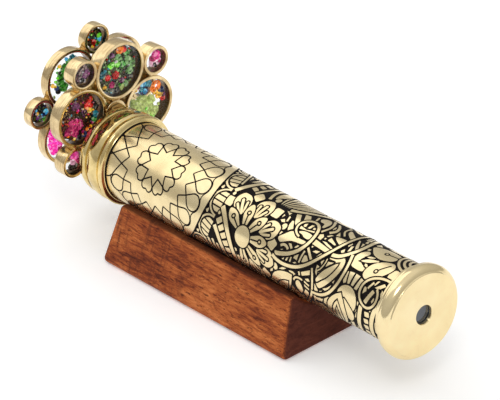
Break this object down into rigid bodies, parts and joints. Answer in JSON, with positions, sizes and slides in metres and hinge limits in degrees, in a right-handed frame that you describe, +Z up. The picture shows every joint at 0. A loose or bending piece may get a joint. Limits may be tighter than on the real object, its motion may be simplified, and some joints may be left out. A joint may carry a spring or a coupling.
{
  "type": "kaleidoscope",
  "caption": "Etched brass kaleidoscope tube with two spinning gem wheels on a spindle at its far end, resting in the groove of a hardwood stand.",
  "frame": {"origin": "centre of the stand's flat underside", "axes": "+X along the tube towards the eyepiece, +Z up, +Y to the left when looking along +X"},
  "size_m": [0.2053, 0.0637, 0.0793],
  "materials": {
    "etched_brass": "polished brass with a black-filled etched pattern",
    "polished_brass": "polished",
    "satin_brass": "satin",
    "clear_glass": "clear, polished",
    "mirror_glass": "mirror",
    "grey_foam": "matt foam",
    "rosewood": "oiled, straight grain along X",
    "red_gem": "coloured glass, polished",
    "green_gem": "coloured glass, polished",
    "blue_gem": "coloured glass, polished",
    "magenta_gem": "coloured glass, polished"
  },
  "bodies": {
    "stand": {"stand": "rosewood"},
    "scope": {"tube": "etched_brass", "eyepiece_cap": "polished_brass", "eye_lens": "clear_glass", "objective_collar": "polished_brass", "objective_glass": "clear_glass", "mirror_1": "mirror_glass", "mirror_2": "mirror_glass", "mirror_3": "mirror_glass", "mirror_packing_1": "grey_foam", "mirror_packing_2": "grey_foam", "mirror_packing_3": "grey_foam", "wheel_spindle": "satin_brass", "spindle_locknut": "satin_brass", "wheel_spacer": "satin_brass", "end_washer": "satin_brass", "end_nut": "satin_brass"},
    "front_wheel": {"front_wheel_frame": "satin_brass", "front_cell_1_front_glass": "clear_glass", "front_cell_1_rear_glass": "clear_glass", "front_cell_1_gem": "red_gem", "front_small_cell_1_front_glass": "clear_glass", "front_small_cell_1_rear_glass": "clear_glass", "front_cell_2_front_glass": "clear_glass", "front_cell_2_rear_glass": "clear_glass", "front_cell_2_gem": "green_gem", "front_small_cell_2_front_glass": "clear_glass", "front_small_cell_2_rear_glass": "clear_glass", "front_cell_3_front_glass": "clear_glass", "front_cell_3_rear_glass": "clear_glass", "front_cell_3_gem": "blue_gem", "front_small_cell_3_front_glass": "clear_glass", "front_small_cell_3_rear_glass": "clear_glass", "front_cell_4_front_glass": "clear_glass", "front_cell_4_rear_glass": "clear_glass", "front_cell_4_gem": "magenta_gem", "front_small_cell_4_front_glass": "clear_glass", "front_small_cell_4_rear_glass": "clear_glass"},
    "back_wheel": {"back_wheel_frame": "satin_brass", "back_cell_1_front_glass": "clear_glass", "back_cell_1_rear_glass": "clear_glass", "back_cell_1_gem": "green_gem", "back_small_cell_1_front_glass": "clear_glass", "back_small_cell_1_rear_glass": "clear_glass", "back_cell_2_front_glass": "clear_glass", "back_cell_2_rear_glass": "clear_glass", "back_cell_2_gem": "blue_gem", "back_small_cell_2_front_glass": "clear_glass", "back_small_cell_2_rear_glass": "clear_glass", "back_cell_3_front_glass": "clear_glass", "back_cell_3_rear_glass": "clear_glass", "back_cell_3_gem": "red_gem", "back_small_cell_3_front_glass": "clear_glass", "back_small_cell_3_rear_glass": "clear_glass", "back_cell_4_front_glass": "clear_glass", "back_cell_4_rear_glass": "clear_glass", "back_cell_4_gem": "magenta_gem", "back_small_cell_4_front_glass": "clear_glass", "back_small_cell_4_rear_glass": "clear_glass"}
  },
  "joints": [
    {"name": "scope_lift", "type": "slide", "parent": "stand", "child": "scope", "axis": [0, 0, 1], "range_m": [0, 0.06]},
    {"name": "front_wheel_spin", "type": "hinge", "parent": "scope", "child": "front_wheel", "pos_m": [-0.0767, 0.00425, 0.04743], "axis": [1, 0, 0], "continuous": true},
    {"name": "back_wheel_spin", "type": "hinge", "parent": "scope", "child": "back_wheel", "pos_m": [-0.08965, 0.00425, 0.04743], "axis": [1, 0, 0], "continuous": true}
  ]
}
